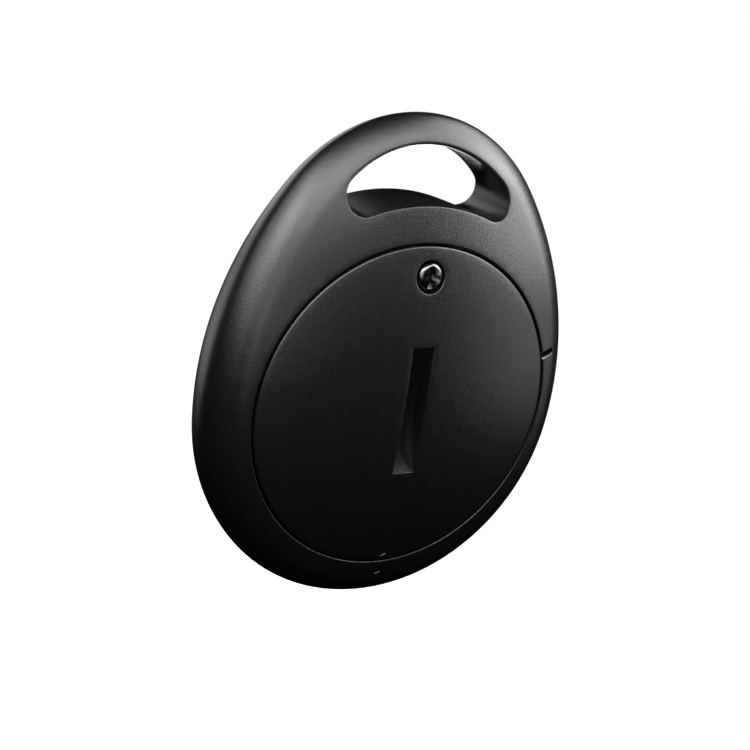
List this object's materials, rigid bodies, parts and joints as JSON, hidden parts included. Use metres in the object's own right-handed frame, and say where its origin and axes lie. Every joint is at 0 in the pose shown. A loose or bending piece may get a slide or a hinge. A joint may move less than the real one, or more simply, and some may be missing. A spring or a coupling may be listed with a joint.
{
  "type": "bluetooth tracker tag",
  "caption": "Egg-shaped key tracker tag with a crescent key-ring opening, a coin-slot battery cover held by a captive safety screw, and a press-button front with a piezo sounder.",
  "frame": {"origin": "on the battery cover's axis, at the flat front face", "axes": "the tag hangs upright: +Z towards the key-ring opening; -Y out of the back face, through the battery cover; +X to the right when the back is seen"},
  "size_m": [0.0394, 0.0103, 0.0481],
  "materials": {
    "body_plastic": "matte black, fine spark texture",
    "cover_plastic": "matte black, fine spark texture",
    "panel_plastic": "matte black, fine spark texture",
    "button_plastic": "satin black",
    "frame_plastic": "moulded dark grey",
    "adhesive": "soft transfer tape",
    "board": "green solder mask over glass fibre",
    "chip_plastic": "moulded black package",
    "crystal_can": "plated lid",
    "inductor_core": "ferrite grey",
    "antenna_ceramic": "unglazed ceramic",
    "capacitor_body": "tan ceramic with tinned ends",
    "resistor_body": "black film with tinned ends",
    "led_body": "pale encapsulant",
    "light_guide": "clear moulded polycarbonate",
    "switch_metal": "stamped shield",
    "plunger_plastic": "natural nylon",
    "spring_gold": "gold flash on spring strip",
    "contact_steel": "nickel-plated spring strip",
    "insert_brass": "knurled, machined",
    "seal_dark": "silicone",
    "seal_red": "silicone",
    "foam": "closed-cell foam",
    "ring_nylon": "natural nylon",
    "screw_steel": "black-plated, glossy",
    "cell_steel": "nickel-plated, lightly scuffed",
    "cell_cap": "nickel-plated",
    "cell_gasket": "polypropylene",
    "piezo_brass": "bright sheet",
    "piezo_ceramic": "fired, silvered"
  },
  "bodies": {
    "body": {"main_shell": "body_plastic", "front_panel": "panel_plastic", "panel_adhesive": "adhesive", "battery_cradle": "frame_plastic", "circuit_board": "board", "radio_chip": "chip_plastic", "crystal": "crystal_can", "inductor": "inductor_core", "chip_antenna": "antenna_ceramic", "capacitors": "capacitor_body", "resistors": "resistor_body", "status_led": "led_body", "light_pipe": "light_guide", "switch_body": "switch_metal", "buzzer_springs": "spring_gold", "positive_contact": "contact_steel", "negative_contact": "contact_steel", "threaded_insert": "insert_brass", "button_seal": "seal_dark"},
    "cover": {"battery_cover": "cover_plastic", "cover_seal": "seal_red", "battery_pad": "foam"},
    "screw_carrier": {"screw_retaining_ring": "ring_nylon"},
    "screw": {"cover_screw": "screw_steel"},
    "battery": {"battery_can": "cell_steel", "battery_cap": "cell_cap", "battery_gasket": "cell_gasket"},
    "button": {"front_button": "button_plastic", "piezo_disc": "piezo_brass", "piezo_ceramic": "piezo_ceramic", "button_bumper": "seal_dark", "switch_plunger": "plunger_plastic"}
  },
  "joints": [
    {"name": "cover_lift", "type": "slide", "parent": "body", "child": "cover", "axis": [0, -1, 0], "range_m": [0, 0.014]},
    {"name": "battery_lift", "type": "slide", "parent": "body", "child": "battery", "axis": [0, -1, 0], "range_m": [0, 0.007]},
    {"name": "screw_travel", "type": "slide", "parent": "cover", "child": "screw_carrier", "axis": [0, -1, 0], "range_m": [0, 0.00204]},
    {"name": "screw_turn", "type": "hinge", "parent": "screw_carrier", "child": "screw", "pos_m": [0, -0.0081, 0.0131], "axis": [0, -1, 0], "range_deg": [0, 2100]},
    {"name": "button_press", "type": "slide", "parent": "body", "child": "button", "axis": [0, -1, 0], "range_m": [0, 0.0003], "stiffness_N_per_m": 5000, "springref_m": -0.00006, "deforming": ["buzzer_springs"]}
  ],
  "couplings": [
    {"joint": "battery_lift", "follows": "cover_lift", "ratio": 0.5},
    {"joint": "screw_turn", "follows": "screw_travel", "rad_per_m": 17952}
  ]
}
